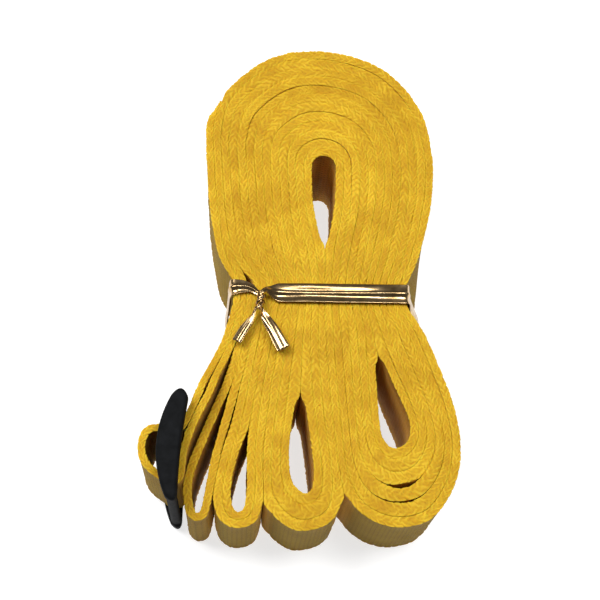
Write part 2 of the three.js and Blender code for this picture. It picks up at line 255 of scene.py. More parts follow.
def catmull(points, per_span, power):
    """A Catmull-Rom curve, per_span samples to a span: uniform for a power of 0, centripetal for 0.5."""
    if power:
        ends = np.vstack([2 * points[0] - points[1], points, 2 * points[-1] - points[-2]])
    else:
        ends = np.vstack([points[0], points, points[-1]])
    apart = np.linalg.norm(np.diff(ends, axis=0), axis=1) ** power
    t = np.linspace(0, 1, per_span, endpoint=False)[:, None]
    out = []
    for i in range(len(points) - 1):
        p0, p1, p2, p3 = ends[i : i + 4]
        d0, d1, d2 = apart[i : i + 3]
        v0 = ((p1 - p0) / d0 - (p2 - p0) / (d0 + d1) + (p2 - p1) / d1) * d1
        v1 = ((p2 - p1) / d1 - (p3 - p1) / (d1 + d2) + (p3 - p2) / d2) * d1
        cubic, square = 2 * p1 - 2 * p2 + v0 + v1, -3 * p1 + 3 * p2 - 2 * v0 - v1
        out.append(cubic * t**3 + square * t**2 + v0 * t + p1)
    return np.vstack(out + [points[-1:]])


def blur(values, width):
    """A weighted running mean over width samples, ends held."""
    kernel = np.hanning(width + 2)[1:-1]
    kernel /= kernel.sum()
    padded = np.pad(values, width // 2, mode="edge")
    return np.convolve(padded, kernel, mode="same")[width // 2 : width // 2 + len(values)]


def blur_sides(values, width):
    """The running mean of two columns, one for each side of the strap."""
    return np.c_[blur(values[:, 0], width), blur(values[:, 1], width)]


# --------------------------------------------------------- the bent waist
WAIST_RIGHT, WAIST_LEFT = 17.4, 18.8  # from the middle to the outermost leg
DRAWN_RIGHT, DRAWN_LEFT = -1.6, -0.95  # how far the tie draws the upper selvedges in
FLARE_RIGHT, FLARE_LEFT = 2.5, -0.1  # how far the lower ones flare out
DRAW_REACH, FLARE_REACH = 5.5, 13.0
FLARE_LIMIT, FLARE_POWER = 1.15, 1.3


def warp(points):
    """The tie draws the upper selvedges in, and the right's lower ones flare out. Strap and tie bend so."""
    p = np.array(points, float)
    right = p[:, 0] > 0
    share = np.abs(p[:, 0]) / np.where(right, WAIST_RIGHT, WAIST_LEFT)
    drawn = np.where(right, DRAWN_RIGHT, DRAWN_LEFT) * share * np.exp(-((p[:, 1] / DRAW_REACH) ** 2))
    flare = np.where(right, FLARE_RIGHT, FLARE_LEFT) * np.minimum(share, FLARE_LIMIT) ** FLARE_POWER
    flare = flare * np.exp(-((p[:, 1] / FLARE_REACH) ** 2))
    up = smooth(0, 1, np.clip(p[:, 2] / WEB_WIDTH, 0, 1))
    p[:, 0] += np.where(right, 1, -1) * (drawn * up + flare * (1 - up))
    return p


# ---------------------------------------------------------------- the strap
STEP = 0.2  # between rings along the strap
ALONE_BLUR, BEND_BLUR, HALF_BLUR, SHELTER_BLUR = 9, 9, 15, 21  # rings that each running mean takes in
PER_SPAN = 40  # samples between two stations, before the rings are spaced
NO_NEIGHBOUR = 9.0
NEAR = 3.8  # neighbouring layers are looked for this far away
OWN_BEND = 5  # a stretch this close along the strap isn't a neighbour
ABREAST = 0.35  # a neighbour's point lies this close to straight across
FILL_FROM, FILL_TO = 0.3, 0.7  # layers meet across a spare gap up to the first, and not from the second
ALONE_OVER = 0.3  # spare room at which a side counts as quite free
TOUCH_GAP = 0.005  # left on each side between touching layers
BEND_SHARE = 0.85  # the inner side of a bend is at most this share of its radius
HALF_LEAST = 0.4
SHELTER = 14.0  # a face with another fold this close opposite it is inside the hank
SHELTER_STRIDE = 5  # rings between one look for shelter and the next
SHELTER_FROM = 0.9  # nearer points are the strap itself
SHELTER_BESIDE = 0.4


def room_beside(line, way, normal):
    """How far away the next layer's middle line is, on the left and on the right of each ring."""
    tree = kdtree.KDTree(len(line))
    for i, (x, y) in enumerate(line):
        tree.insert((x, y, 0), i)
    tree.balance()
    room = np.full((len(line), 2), NO_NEIGHBOUR)
    for i in range(0, len(line), 2):
        x, y = line[i]
        for _, j, _ in tree.find_range((x, y, 0), NEAR):
            if abs(i - j) * STEP < OWN_BEND:
                continue
            apart = line[j] - line[i]
            across = apart @ normal[i]
            if abs(apart @ way[i]) < ABREAST:
                side = 0 if across > 0 else 1
                room[i, side] = min(room[i, side], abs(across))
        room[i + 1 : i + 2] = room[i]
    return room


def open_faces_for_painted_shade(line, normal):
    """For each side of each ring, 1 where no other fold faces it within SHELTER, and 0 where one does. The
    webbing paints shade on the 1s and a warm glow of light on the 0s.
    """
    out = np.ones((len(line), 2))
    for i in range(0, len(line), SHELTER_STRIDE):
        apart = line - line[i]
        across = apart @ normal[i]
        beside = np.abs(apart[:, 0] * normal[i, 1] - apart[:, 1] * normal[i, 0]) < SHELTER_BESIDE
        facing = beside & (np.abs(across) > SHELTER_FROM) & (np.abs(across) < SHELTER)
        out[i : i + SHELTER_STRIDE] = not np.any(facing & (across > 0)), not np.any(facing & (across < 0))
    return blur_sides(out, SHELTER_BLUR)


def half_thickness(most, room, way):
    """Half the web's thickness on each side, and how far that side is from meeting a neighbour."""
    free = np.minimum(most, HALF_FREE)
    most = free + (most - free) * (1 - smooth(2 * most + FILL_FROM, 2 * most + FILL_TO, room))
    alone = blur_sides(smooth(2 * most, 2 * most + ALONE_OVER, room), ALONE_BLUR)
    half = np.minimum(room / 2 - TOUCH_GAP, most)
    turn = np.gradient(np.unwrap(np.arctan2(way[:, 1], way[:, 0]))) / STEP
    radius = 1 / np.maximum(np.abs(blur(turn, BEND_BLUR)), 1e-3)
    inside = np.c_[turn > 0, turn < 0]
    half = np.where(inside, np.minimum(half, BEND_SHARE * radius[:, None]), half)
    half = blur_sides(np.maximum(half, HALF_LEAST), HALF_BLUR)
    return half, alone


def strap_line():
    """The strap's middle line by ring: place, arc length s, normal, lift, layer number and half thickness."""
    route, lifted, layer, halves = strap_route()
    fine = catmull(route, PER_SPAN, 0)
    spans = np.minimum(np.arange(len(fine)) / PER_SPAN, len(route) - 1)
    along = np.r_[0, np.cumsum(np.linalg.norm(np.diff(fine, axis=0), axis=1))]
    s = np.arange(0, along[-1], STEP)
    line = np.c_[np.interp(s, along, fine[:, 0]), np.interp(s, along, fine[:, 1])]
    at = np.interp(s, along, spans)
    nearest = np.round(at).astype(int)
    way = np.gradient(line, axis=0)
    way /= np.linalg.norm(way, axis=1)[:, None]
    normal = np.c_[-way[:, 1], way[:, 0]]
    most = np.interp(at, np.arange(len(halves)), halves)[:, None]
    half, alone = half_thickness(most, room_beside(line, way, normal), way)
    half[:, 1] *= TIP_SHARE + (1 - TIP_SHARE) * smooth(0, TAPER, s)
    lift = lifted[nearest] * WEB_LIFT * smooth(LIFT_FROM, LIFT_TO, -line[:, 1])
    number = layer[nearest].astype(int)
    return SimpleNamespace(
        line=line, s=s, normal=normal, lift=lift, number=number, half=half, alone=alone
    )


BRAID = 1.6  # one cell of the plaited selvedge
RIB = 0.8  # one weft rib across the web's face
YARN = 0.62  # one warp yarn along the web's face
SLANT = 1.1  # how far a strand of the plait runs on from the selvedge's middle to its side, in cells
SEAM = 0.2  # half the width of the valley in the plait's middle, and how far the valley swings
CAP = 0.30  # height of the selvedge's rounding
CAP_BUNCH = 0.8  # under 1, more of the rounding's points lie near its sides
SHOULDER = 0.5  # how far the rounding has fallen, in heights of itself, where it meets the web's face
CAP_STEPS, FACE_STEPS = 12, 6
PLAIT_HEIGHT = 0.19
PLAIT_LEVEL = 0.7  # the plait's height that lies on the rounding itself
PLAIT_SWELL, RIB_SWELL = 0.2, 0.05  # how far they stand out sideways on a free side
PLAIT_EVEN = 0.6  # the plait's height that doesn't swell
PINCH_HIGH, PINCH_LOW = 0.5, 1.4  # the tie presses the selvedges in, on top of the hank and under it
PINCH_END = 8
LAYER_HEIGHT = 0.07  # the most that a layer's selvedge stands higher or lower than the others
WANDER = 0.12  # how much the selvedge's height wanders along the strap
LAYER_BLUR, WANDER_BLUR = 91, 181
SELVEDGE_DROP = 0.2  # all upper selvedges lie this much under the web's full width
CALM, LIVELY = 3.5, 11  # from the waist's middle, where the heights start and stop growing uneven


def web_section():
    """One ring of the strap: across from -1 to 1, up from 0 to 1, and how far out of its two selvedges."""
    caps = []
    for i in range(CAP_STEPS + 1):
        caps.append(math.copysign(abs(math.cos(math.pi * i / CAP_STEPS)) ** CAP_BUNCH, CAP_STEPS / 2 - i))
    upper = [(a, 1.0, 1 - SHOULDER * abs(a) ** 3) for a in caps]
    lower = [(-a, 0.0, -out) for a, _, out in upper]
    ups = [i / FACE_STEPS for i in range(1, FACE_STEPS)]
    downs = [1 - up for up in ups]
    ring = [(1.0, 1.0, 0.0), *upper, (-1.0, 1.0, 0.0)] + [(-1.0, down, 0.0) for down in downs]
    ring += [(-1.0, 0.0, 0.0), *lower, (1.0, 0.0, 0.0)] + [(1.0, up, 0.0) for up in ups]
    return np.array(ring).T[:, None]


def plait_height(u, s, stray):
    """The selvedge's plait, about 0 to 1: two rows of slanted strands that meet in its middle."""
    phase = (s / BRAID)[:, None] + stray(51, 0.22)
    off = u - (SEAM * np.sin(2 * np.pi * phase) + stray(31, 0.16))
    slant = (SLANT + stray(41, 0.2)) * np.abs(off)
    strand = phase + 0.5 * (off > 0) + slant + np.where(off > 0, stray(21, 0.1), 0)
    cell = np.sqrt(np.abs(np.sin(np.pi * strand)))
    valley = 1 - np.exp(-((off / SEAM) ** 2))
    return cell * (0.6 + 0.4 * valley) * (1 + stray(17, 0.12))


def strap_mesh():
    """The strap's points and faces, what its material reads at each point, and its length."""
    web = strap_line()
    s, rings, layers = web.s, len(web.s), web.number.max() + 2
    rng = np.random.default_rng(11)
    high = rng.uniform(-LAYER_HEIGHT, LAYER_HEIGHT, layers)[web.number]
    wander = blur(rng.normal(0, 1, rings), WANDER_BLUR)
    wander *= WANDER / wander.std()

    def stray(width, size):
        """Smooth random variation along the strap, of the given size, from a mean over width rings."""
        walk = blur(rng.normal(0, 1, rings), width)
        return (walk * size / walk.std())[:, None]

    height = np.abs(web.line[:, 1])
    pinch = 1 - smooth(WAIST_HALF + 0.2, PINCH_END, height)
    lively = smooth(CALM, LIVELY, height)
    uneven = (blur(high, LAYER_BLUR) + wander) * lively
    top = WEB_WIDTH - PINCH_HIGH * pinch + (uneven - SELVEDGE_DROP * lively) + web.lift
    bottom = PINCH_LOW * pinch + web.lift

    u, v, out = web_section()
    n = u.shape[1]
    plait = plait_height(u, s, stray)
    rib = np.abs(np.cos(np.pi * s[:, None] / RIB)) ** 0.7
    on_cap = (np.abs(out) > 0).astype(float)
    side = np.where(u > 0, web.half[:, :1], web.half[:, 1:])
    alone = np.where(u > 0, web.alone[:, :1], web.alone[:, 1:])
    swell = on_cap * PLAIT_SWELL * (plait - PLAIT_EVEN) + (1 - on_cap) * RIB_SWELL * (rib - 1)
    across = u * (side + swell * alone)
    body_low, body_high = bottom[:, None] + CAP, top[:, None] - CAP
    z = body_low + v * (body_high - body_low) + out * CAP
    z = z + np.sign(out) * (PLAIT_HEIGHT + stray(25, 0.05)) * (plait - PLAIT_LEVEL)
    x = web.line[:, 0][:, None] + web.normal[:, 0][:, None] * across
    y = web.line[:, 1][:, None] + web.normal[:, 1][:, None] * across
    points = warp(np.c_[x.ravel(), y.ravel(), z.ravel()])
    points = np.vstack([points, points[:n].mean(0), points[-n:].mean(0)])

    faces = tube_faces(rings, n)
    base = (rings - 1) * n
    for k in range(n):
        faces.append((k, rings * n, (k + 1) % n))
        faces.append((base + k, base + (k + 1) % n, rings * n + 1))

    def at_points(values, first, last):
        """The values at every ring's points, then at the middles of the strap's two ends."""
        return np.r_[np.broadcast_to(values, (rings, n)).ravel(), first, last]

    # which faces get painted shade (open, outside the hank) and which get a painted glow (in its folds)
    painted_shade_share = open_faces_for_painted_shade(web.line, web.normal)
    data = {
        # the plait's and ribs' height; the material paints the plait's low spots darker, as painted shade in
        # its hollows
        "relief": at_points(on_cap * plait + (1 - on_cap) * rib, 0.3, 0.3),
        "selvedge": at_points(on_cap, 0.0, 0.0),
        "layer_tone": at_points(rng.uniform(0, 1, layers)[web.number][:, None], 0.5, 0.5),
        # 1 on the hank's open outer faces, painted in shade by the material; 0 in its folds, painted with a
        # warm glow
        "painted_shade_outside": at_points(np.where(u > 0, painted_shade_share[:, :1], painted_shade_share[:, 1:]), 1.0, 1.0),
        "ribs": at_points((s / RIB)[:, None], 0.0, s[-1] / RIB),
        "yarns": at_points(v * WEB_WIDTH / YARN, 20.0, 20.0),
    }
    return points, faces, data, s[-1]


def tube_faces(rings, n):
    """The quads between rings of n points each."""
    faces = []
    for i in range(rings - 1):
        for k in range(n):
            a, b = i * n + k, i * n + (k + 1) % n
            faces.append((a, b, b + n, a + n))
    return faces


def tube_ends(rings, n):
    """A flat face over a tube's first ring and one over its last."""
    return [tuple(reversed(range(n))), tuple((rings - 1) * n + k for k in range(n))]


def make_object(name, points, faces, attributes=None):
    """A smooth-shaded object from points of the route's frame, with what its material reads at each."""
    mesh = bpy.data.meshes.new(name)
    mesh.from_pydata(row(points).tolist(), [], faces)
    for key, values in (attributes or {}).items():
        mesh.attributes.new(key, "FLOAT", "POINT").data.foreach_set("value", np.asarray(values, np.float32))
    mesh.polygons.foreach_set("use_smooth", [True] * len(mesh.polygons))
    mesh.update()
    made = bpy.data.objects.new(name, mesh)
    bpy.context.scene.collection.objects.link(made)
    return made


strap_points, strap_faces, strap_data, strap_length = strap_mesh()
strap = make_object("webbing", strap_points, strap_faces, strap_data)


# --------------------------------------------------------- slide adjuster
RAIL_THICK = 3.55
RAIL_RIM = 0.75  # radius of a rail's rounded rims
RIM_STEPS = 6
VOXEL = 0.16


def arc(cx, cy, r, a0, a1, n):
    """n points of a circle round (cx, cy), from angle a0 to a1."""
    a = np.linspace(a0, a1, n)
    return np.c_[cx + r * np.cos(a), cy + r * np.sin(a)]


def rounded(p, corner, q, n):
    """A quadratic curve from p to q, without its ends."""
    w = np.linspace(0, 1, n + 2)[1:-1, None]
    return (1 - w) ** 2 * p + 2 * w * (1 - w) * np.array(corner) + w**2 * q


def rail_outline(per_arc=60, per_end=22):
    """The crescent, anticlockwise from its upper left: outer arc, lower end, inner arc, upper end."""
    outer = arc(-10.4, -32.9, 21.5, math.pi - 0.5, math.pi + 0.417, per_arc)
    inner = arc(89.4, -42.9, 117.2, math.pi - 0.0145, math.pi - 0.171, per_arc)
    lower = rounded(outer[-1], (-28.2, -43.6), inner[0], per_end)
    upper = rounded(inner[-1], (-27.26, -19.85), outer[0], per_end)
    return np.vstack([outer, lower, inner, upper])


def rail_parts(z0):
    """A side rail: the crescent, its two rims rounded over by insetting towards its middle line."""
    outline = rail_outline()
    n = len(outline)
    way = np.roll(outline, -1, 0) - np.roll(outline, 1, 0)
    way /= np.linalg.norm(way, axis=1)[:, None]
    inward = np.c_[-way[:, 1], way[:, 0]]
    turns = np.linspace(0, math.pi / 2, RIM_STEPS + 1)
    side = [(RAIL_RIM * (1 - math.cos(a)), RAIL_THICK - RAIL_RIM + RAIL_RIM * math.sin(a)) for a in turns]
    profile = [(inset, RAIL_THICK - z) for inset, z in reversed(side)] + side
    points = []
    for inset, z in profile:
        points += [(x, y, z0 + z) for x, y in outline + inward * inset]
    return points, tube_faces(len(profile), n) + tube_ends(len(profile), n)


def bar_parts(x, y, rx, ry, tilt, around=28, rings=10):
    """A crossbar of elliptical section, from inside one rail to inside the other."""
    points = []
    low, high = RAIL_THICK / 2, SLIDE_WIDTH - RAIL_THICK / 2
    for i in range(rings):
        z = low + (high - low) * i / (rings - 1)
        for k in range(around):
            a = 2 * math.pi * k / around
            px, py = rx * math.cos(a), ry * math.sin(a)
            turned_x = px * math.cos(tilt) - py * math.sin(tilt)
            turned_y = px * math.sin(tilt) + py * math.cos(tilt)
            points.append((x + turned_x, y + turned_y, z))
    return points, tube_faces(rings, around) + tube_ends(rings, around)


def apply_modifiers(obj):
    """Keeps what the modifiers make of the mesh, and drops the modifiers."""
    graph = bpy.context.evaluated_depsgraph_get()
    mesh = bpy.data.meshes.new_from_object(obj.evaluated_get(graph))
    obj.modifiers.clear()
    obj.data = mesh
    mesh.polygons.foreach_set("use_smooth", [True] * len(mesh.polygons))


def build_slide():
    """The rails and bars, remeshed into one moulding with softened inner corners."""
    points, faces = [], []
    parts = [
        rail_parts(0.0),
        rail_parts(SLIDE_WIDTH - RAIL_THICK),
        bar_parts(-28.1, -22.9, 1.2, 1.0, 0.3),
        bar_parts(BAR[0], BAR[1], 1.25, 1.55, 0.0),
        bar_parts(-28.9, -41.1, 1.1, 0.9, -0.3),
    ]
    for part_points, part_faces in parts:
        start = len(points)
        points += part_points
        faces += [tuple(i + start for i in face) for face in part_faces]
    made = make_object("slide", points, faces)
    remesh = made.modifiers.new("weld", "REMESH")
    remesh.mode = "VOXEL"
    remesh.voxel_size = VOXEL * MM
    remesh.use_smooth_shade = True
    soften = made.modifiers.new("soften", "SMOOTH")
    soften.factor, soften.iterations = 0.5, 6
    apply_modifiers(made)
    return made


slide = build_slide()


# -------------------------------------------------------------- twist tie
TIE_WIDTH = 3.9
# From the webbing to the tie's middle, in the CAD: its film's offset, rise over the wire and half thickness,
# and the gap that it keeps.
TIE_REACH = 0.17 + 0.22 + 0.075 + 0.3
CAD_HALF = 0.55  # half the webbing's thickness in the CAD
TIE_BEND = 1.0  # radius of the tie's four corners
KNOT_TOP, KNOT_LOW = np.array([-13.1, -0.4, 26.6]), np.array([-13.4, -3.9, 26.9])
KNOT_RADIUS, KNOT_TURNS, KNOT_WIDTH = 0.7, 1.25, 0.75
KNOT_MARKS = 16
TIE_FINE = 12  # rings between one mark and the next


def tie_marks():
    """Points of the tie's middle line, the way its outer face looks there, and its width."""
    marks = []

    def mark(x, y, z, nx, ny, nz, width):
        n = np.array([nx, ny, nz], float)
        marks.append((np.array([x, y, z], float), n / np.linalg.norm(n), width))

    def helix(start, side, backwards):
        for i in range(KNOT_MARKS + 1):
            t = (KNOT_MARKS - i if backwards else i) / KNOT_MARKS
            turn = start + KNOT_TURNS * 2 * math.pi * t
            out = np.array([math.cos(turn), 0, math.sin(turn)])
            p = KNOT_TOP + (KNOT_LOW - KNOT_TOP) * t + out * KNOT_RADIUS
            mark(*p, side * out[0], 0, side * out[2], KNOT_WIDTH)

    front = WEB_WIDTH - PINCH_HIGH + TIE_REACH
    back = PINCH_LOW - TIE_REACH
    left = leg_x(1) - CAD_HALF - TIE_REACH
    right = leg_x(LEGS_LEFT + LEGS_RIGHT) + CAD_HALF + TIE_REACH
    bend = TIE_BEND
    cut = bend * (1 - math.sqrt(0.5))
    mark(-17.25, -10.5, 27.3, -0.2, 0, 1, 1.9)
    mark(-15.9, -7.9, 27.2, -0.2, 0, 1, 1.8)
    mark(-15.1, -6.5, 27.0, -0.3, 0, 1, 1.6)
    mark(-14.5, -5.1, 26.9, -0.6, 0, 0.8, 1.2)
    helix(math.pi / 2, 1, True)
    mark(-12.3, 0.15, front + 1.35, 0, 0, 1, 0.9)
    mark(-11.3, 0.1, front + 0.75, 0.3, 0, 1, 2)
    mark(-9.6, 0, front + 0.1, 0, 0, 1, TIE_WIDTH)
    for i in range(1, 6):
        mark(-9.6 + (right - bend + 9.6) * i / 5, 0, front, 0, 0, 1, TIE_WIDTH)
    mark(right - cut, 0, front - cut, 1, 0, 1, TIE_WIDTH)
    for i in range(4):
        mark(right, 0, front - bend + (back - front + 2 * bend) * i / 3, 1, 0, 0, TIE_WIDTH)
    mark(right - cut, 0, back + cut, 1, 0, -1, TIE_WIDTH)
    for i in range(6):
        mark(right - bend + (left - right + 2 * bend) * i / 5, 0, back, 0, 0, -1, TIE_WIDTH)
    mark(left + cut, 0, back + cut, -1, 0, -1, TIE_WIDTH)
    for i in range(4):
        mark(left, 0.3 * i, back + bend + (front - back - 2 * bend) * i / 3, -1, 0, 0, TIE_WIDTH - 0.15 * i)
    mark(left + cut, 1, front - cut, -1, 0, 1, 3.3)
    mark(left + bend, 1.1, front, 0, 0, 1, 3.1)
    mark(left + 2.4, 1.2, front, 0, 0, 1, 2.7)
    mark(-15.4, 0.9, front, 0, 0, 1, 1.9)
    mark(-14.2, 0.1, front - 0.03, 0, 0, 1, 1.1)
    helix(1.5 * math.pi, -1, False)
    mark(-12.5, -4.5, 26.9, -0.7, 0, 0.7, 1.1)
    mark(-12.2, -5.1, 26.95, -0.4, 0, 1, 1.5)
    mark(-11.7, -5.9, 27.0, -0.1, 0, 1, 1.8)
    mark(-10.4, -7.9, 27.3, 0.1, 0, 1, 2.3)
    mark(-8.2, -12.0, 27.5, 0, 0, 1, 2.7)
    return marks


def tie_frames():
    """The tie's middle line with its across and outward directions, its width and its arc length, by ring."""
    marks = tie_marks()
    place = catmull(np.array([m[0] for m in marks]), TIE_FINE, 0.5)
    at = np.arange(len(place)) / TIE_FINE

    def between(values):
        return blur(np.interp(at, np.arange(len(marks)), values), TIE_FINE - 1)

    outward = np.stack([between([m[1][k] for m in marks]) for k in range(3)], 1)
    width = between([m[2] for m in marks])
    way = np.gradient(place, axis=0)
    way /= np.linalg.norm(way, axis=1)[:, None]
    outward -= (outward * way).sum(1)[:, None] * way
    outward /= np.linalg.norm(outward, axis=1)[:, None]
    across = np.cross(outward, way)
    along = np.r_[0, np.cumsum(np.linalg.norm(np.diff(place, axis=0), axis=1))]
    return place, across, outward, width, along


FILM_COLUMNS = 29
FILM_OFFSET = 0.035  # from the tie's middle to each film's middle, along its edges
FILM_HALF = 0.035
FILM_RISE, RISE_HALF_WIDTH = 0.20, 0.55  # the ridge where a film passes over the wire
WIRE_RADIUS, WIRE_SIDES = 0.11, 12
CREASE, FINE_CREASE, RIPPLE = 0.15, 0.03, 0.02  # heights of the films' broad creases, fine ones and ripples
CREASE_LEAST = 0.25  # a narrow stretch keeps at least this share of them


def film_creases(u, s, width):
    """Height of the creases that both films share. They run lengthwise and drift from side to side."""
    drift = 0.09 * np.sin(s / 5.1) + 0.04 * np.sin(s / 2.3 + 1)
    crease = CREASE * np.sin(2 * np.pi * (0.62 * u + drift) + 0.5 * np.sin(s / 6.7))
    fine = 2 * np.pi * (1.2 * u - 0.6 * drift) + 1.9 + 0.5 * np.sin(s / 4.1)
    crease = crease + FINE_CREASE * np.sin(fine) + RIPPLE * np.sin(s / 2.9 + 2 * u)
    return crease * np.clip(width / TIE_WIDTH, CREASE_LEAST, 1)[:, None]


def film_mesh(side):
    """One film, outer for a side of 1 and inner for -1: a thin closed strip, ridged over the wire."""
    place, across, outward, width, along = tie_frames()
    u = np.linspace(-1, 1, FILM_COLUMNS)[None]
    half = width[:, None] / 2
    ridge = FILM_RISE * np.maximum(0, 1 - np.abs(u * half) / RISE_HALF_WIDTH)
    middle = film_creases(u, along[:, None], width) + side * (FILM_OFFSET + ridge)
    points = []
    for shift in (FILM_HALF, -FILM_HALF):
        offset = middle + shift
        p = place[:, None] + across[:, None] * (u * half)[..., None] + outward[:, None] * offset[..., None]
        points.append(p.reshape(-1, 3))
    rings = len(place)
    count = rings * FILM_COLUMNS
    faces = []
    for i in range(rings - 1):
        for k in range(FILM_COLUMNS - 1):
            a = i * FILM_COLUMNS + k
            faces.append((a, a + 1, a + FILM_COLUMNS + 1, a + FILM_COLUMNS))
            b = a + count
            faces.append((b, b + FILM_COLUMNS, b + FILM_COLUMNS + 1, b + 1))
    for i in range(rings - 1):
        for k in (0, FILM_COLUMNS - 1):
            a = i * FILM_COLUMNS + k
            quad = (a, a + FILM_COLUMNS, a + FILM_COLUMNS + count, a + count)
            faces.append(quad if k == 0 else tuple(reversed(quad)))
    for i in (0, rings - 1):
        for k in range(FILM_COLUMNS - 1):
            a = i * FILM_COLUMNS + k
            quad = (a, a + count, a + 1 + count, a + 1)
            faces.append(quad if i == 0 else tuple(reversed(quad)))
    return warp(np.vstack(points)), faces


def wire_mesh():
    """The wire: a round tube along the tie's middle line."""
    place, across, outward, _, _ = tie_frames()
    points = []
    for k in range(WIRE_SIDES):
        a = 2 * math.pi * k / WIRE_SIDES
        points.append(place + across * WIRE_RADIUS * math.cos(a) + outward * WIRE_RADIUS * math.sin(a))
    points = np.stack(points, 1).reshape(-1, 3)
    rings = len(place)
    return warp(points), tube_faces(rings, WIRE_SIDES) + tube_ends(rings, WIRE_SIDES)


outer_film = make_object("tie_film_outer", *film_mesh(1))
inner_film = make_object("tie_film_inner", *film_mesh(-1))
wire = make_object("tie_core_wire", *wire_mesh())


# -------------------------------------------------------------- materials
def srgb(text):
    """The linear colour of a six-digit sRGB one."""
    values = [int(text[i : i + 2], 16) / 255 for i in (0, 2, 4)]
    return tuple(v / 12.92 if v <= 0.04045 else ((v + 0.055) / 1.055) ** 2.4 for v in values)


class Look:
    """A node material being put together. Each method adds a node and returns its output."""

    def __init__(self, name):
        self.made = bpy.data.materials.new(name)
        self.made.use_nodes = True
        self.nodes, self.links = self.made.node_tree.nodes, self.made.node_tree.links
        self.nodes.clear()
        output = self.nodes.new("ShaderNodeOutputMaterial")
        self.shader = self.nodes.new("ShaderNodeBsdfPrincipled")
        self.links.new(self.shader.outputs[0], output.inputs[0])
        self.place = None

    def fill(self, socket, value):
        """Links the socket to another node's output, or sets it."""
        if isinstance(value, bpy.types.NodeSocket):
            self.links.new(value, socket)
        else:
            socket.default_value = value if not isinstance(value, tuple) else (*value, 1)

    def ramp(self, factor, *stops):
        node = self.nodes.new("ShaderNodeValToRGB")
        elements = node.color_ramp.elements
        while len(elements) > 1:
            elements.remove(elements[0])
        elements[0].position = stops[0][0]
        elements[0].color = (*stops[0][1], 1)
        for at, colour in stops[1:]:
            elements.new(at).color = (*colour, 1)
        self.links.new(factor, node.inputs[0])
        return node.outputs[0]

    def mix(self, kind, factor, a, b):
        node = self.nodes.new("ShaderNodeMix")
        node.data_type, node.blend_type = "RGBA", kind
        for number, value in ((0, factor), (6, a), (7, b)):
            self.fill(node.inputs[number], value)
        return node.outputs[2]

    def noise(self, scale, detail=3.0):
        if self.place is None:
            self.place = self.nodes.new("ShaderNodeTexCoord").outputs["Object"]
        node = self.nodes.new("ShaderNodeTexNoise")
        node.inputs["Scale"].default_value = scale
        node.inputs["Detail"].default_value = detail
        self.links.new(self.place, node.inputs["Vector"])
        return node.outputs["Fac"]

    def attribute(self, name):
        node = self.nodes.new("ShaderNodeAttribute")
        node.attribute_name = name
        return node.outputs["Fac"]

    def maths(self, kind, *values):
        node = self.nodes.new("ShaderNodeMath")
        node.operation = kind
        for socket, value in zip(node.inputs, values):
            self.fill(socket, value)
        return node.outputs[0]

    def between(self, factor, low, high):
        node = self.nodes.new("ShaderNodeMapRange")
        node.inputs["To Min"].default_value = low
        node.inputs["To Max"].default_value = high
        self.links.new(factor, node.inputs["Value"])
        return node.outputs[0]

    def bump(self, height, strength, distance, under=None):
        """A bump of this height in millimetres, over another one if given."""
        node = self.nodes.new("ShaderNodeBump")
        node.inputs["Strength"].default_value = strength
        node.inputs["Distance"].default_value = distance * MM
        self.links.new(height, node.inputs["Height"])
        if under is not None:
            self.links.new(under, node.inputs["Normal"])
        return node.outputs[0]


def plain_weave(look):
    """Height of the web's face: each warp yarn floats over every other rib, its neighbours over the rest."""
    ribs, yarns = look.attribute("ribs"), look.attribute("yarns")
    half_rib = look.maths("MULTIPLY", ribs, 0.5)
    half_lane = look.maths("MULTIPLY", look.maths("FLOOR", yarns), 0.5)
    wave = look.maths("MULTIPLY", look.maths("ADD", half_rib, half_lane), math.pi)
    floats = look.maths("ABSOLUTE", look.maths("COSINE", wave))
    round_yarn = look.maths("ABSOLUTE", look.maths("SINE", look.maths("MULTIPLY", yarns, math.pi)))
    return look.maths("POWER", look.maths("MULTIPLY", floats, round_yarn), 0.6)


WHITE = (1.0, 1.0, 1.0)


